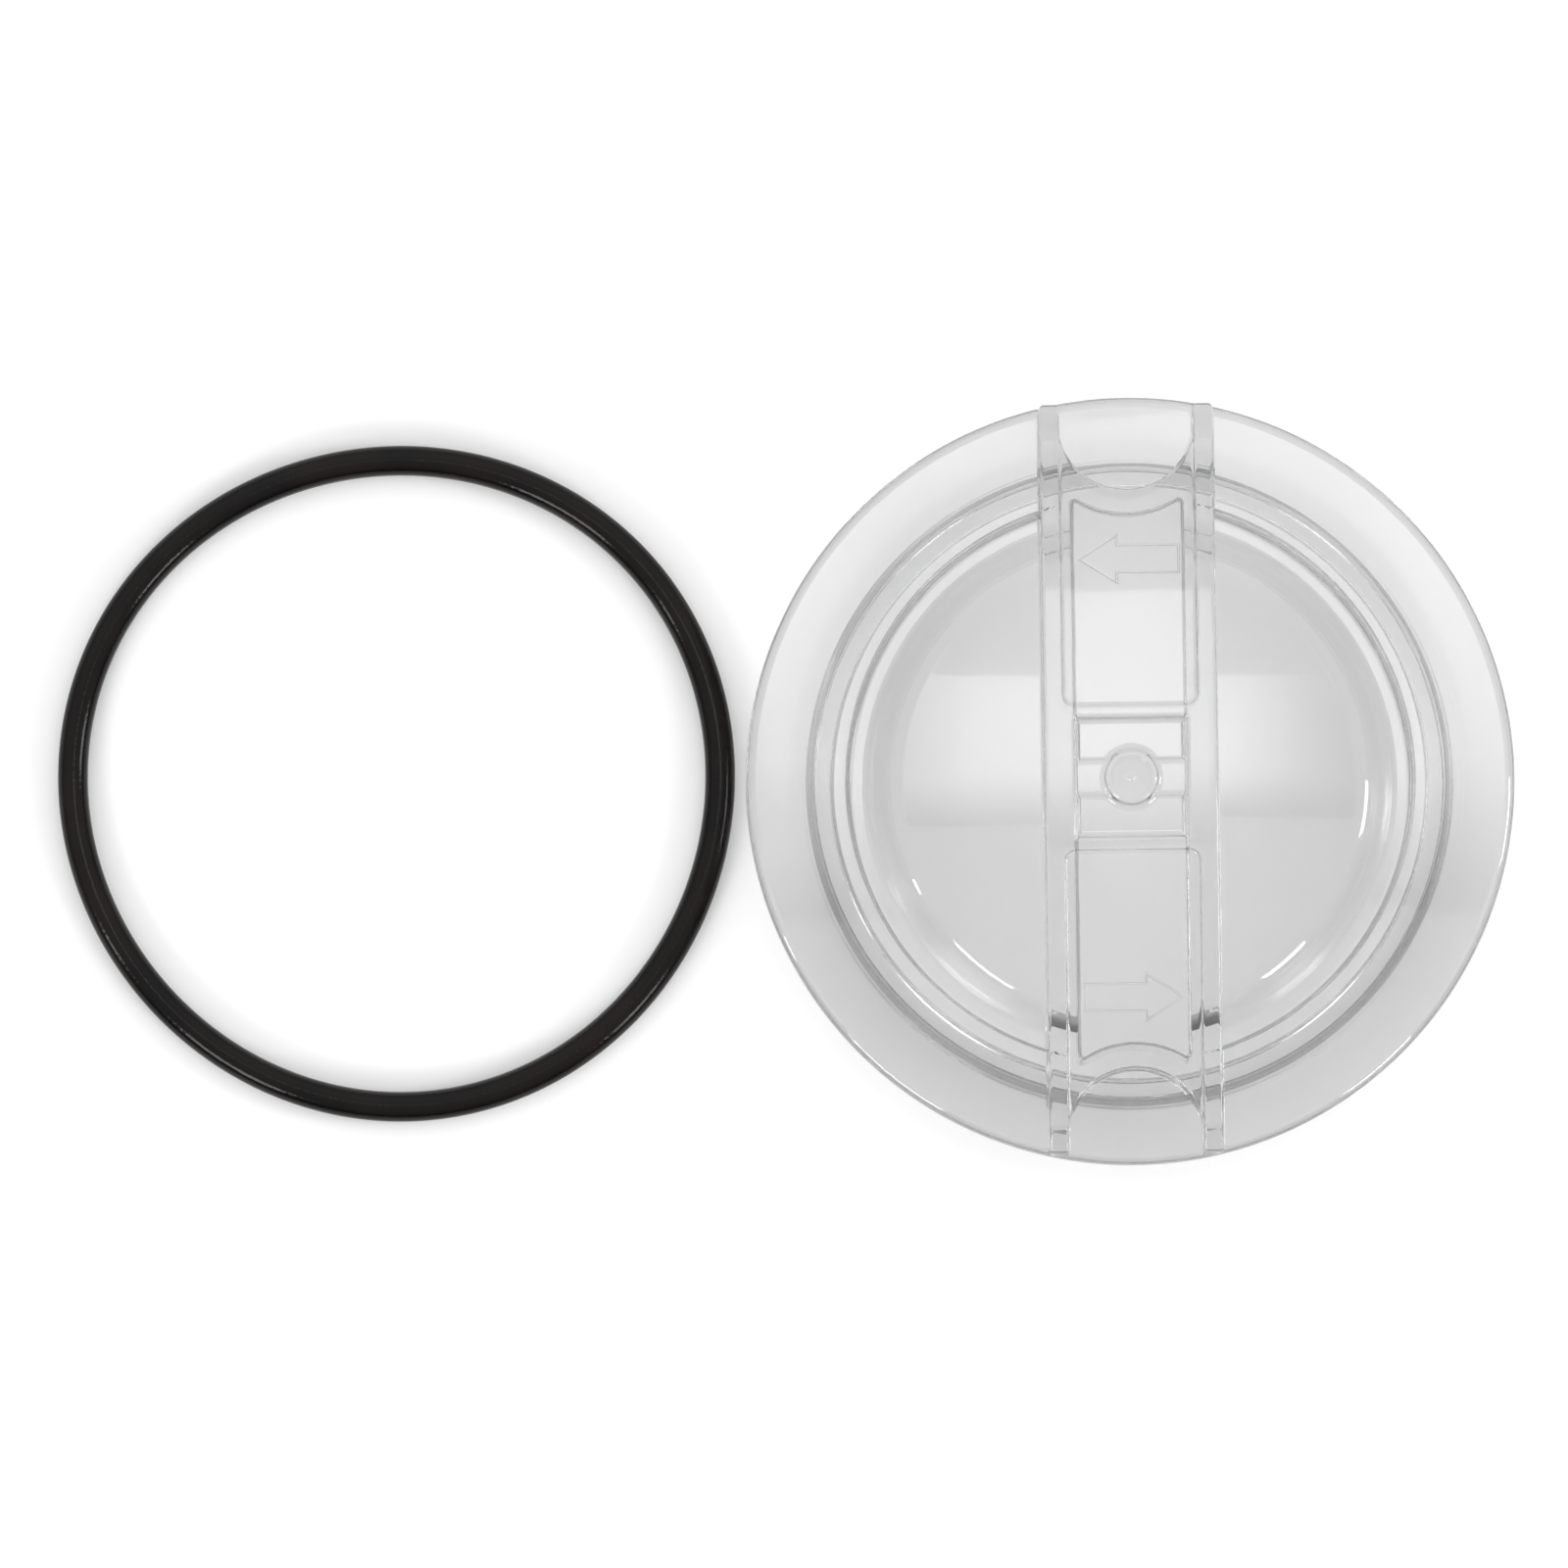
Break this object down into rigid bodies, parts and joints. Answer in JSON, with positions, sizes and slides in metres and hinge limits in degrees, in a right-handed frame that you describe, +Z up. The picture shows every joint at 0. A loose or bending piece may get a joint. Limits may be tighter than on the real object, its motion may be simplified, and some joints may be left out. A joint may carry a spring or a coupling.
{
  "type": "pool pump strainer lid",
  "caption": "Round clear screw-in strainer lid with a sunk window, threaded spigot and full-width bar handle, with its loose black rubber sealing ring beside it.",
  "frame": {"origin": "on the bench under the middle of the pair; the lid's axis is at x = +0.08059 m and the ring's at x = -0.09040 m", "axes": "+Z up along the lid's axis, out of the handle; +X from the loose ring to the lid; the handle runs along Y"},
  "size_m": [0.3402, 0.179, 0.0416],
  "materials": {
    "clear_plastic": "polished clear polycarbonate",
    "black_rubber": "smooth, slightly glossy moulded rubber"
  },
  "bodies": {
    "lid": {"strainer_lid": "clear_plastic"},
    "ring": {"o_ring": "black_rubber"}
  },
  "joints": [
    {"name": "ring_lift", "type": "slide", "parent": "lid", "child": "ring", "axis": [0, 0, 1], "range_m": [0, 0.06]}
  ]
}
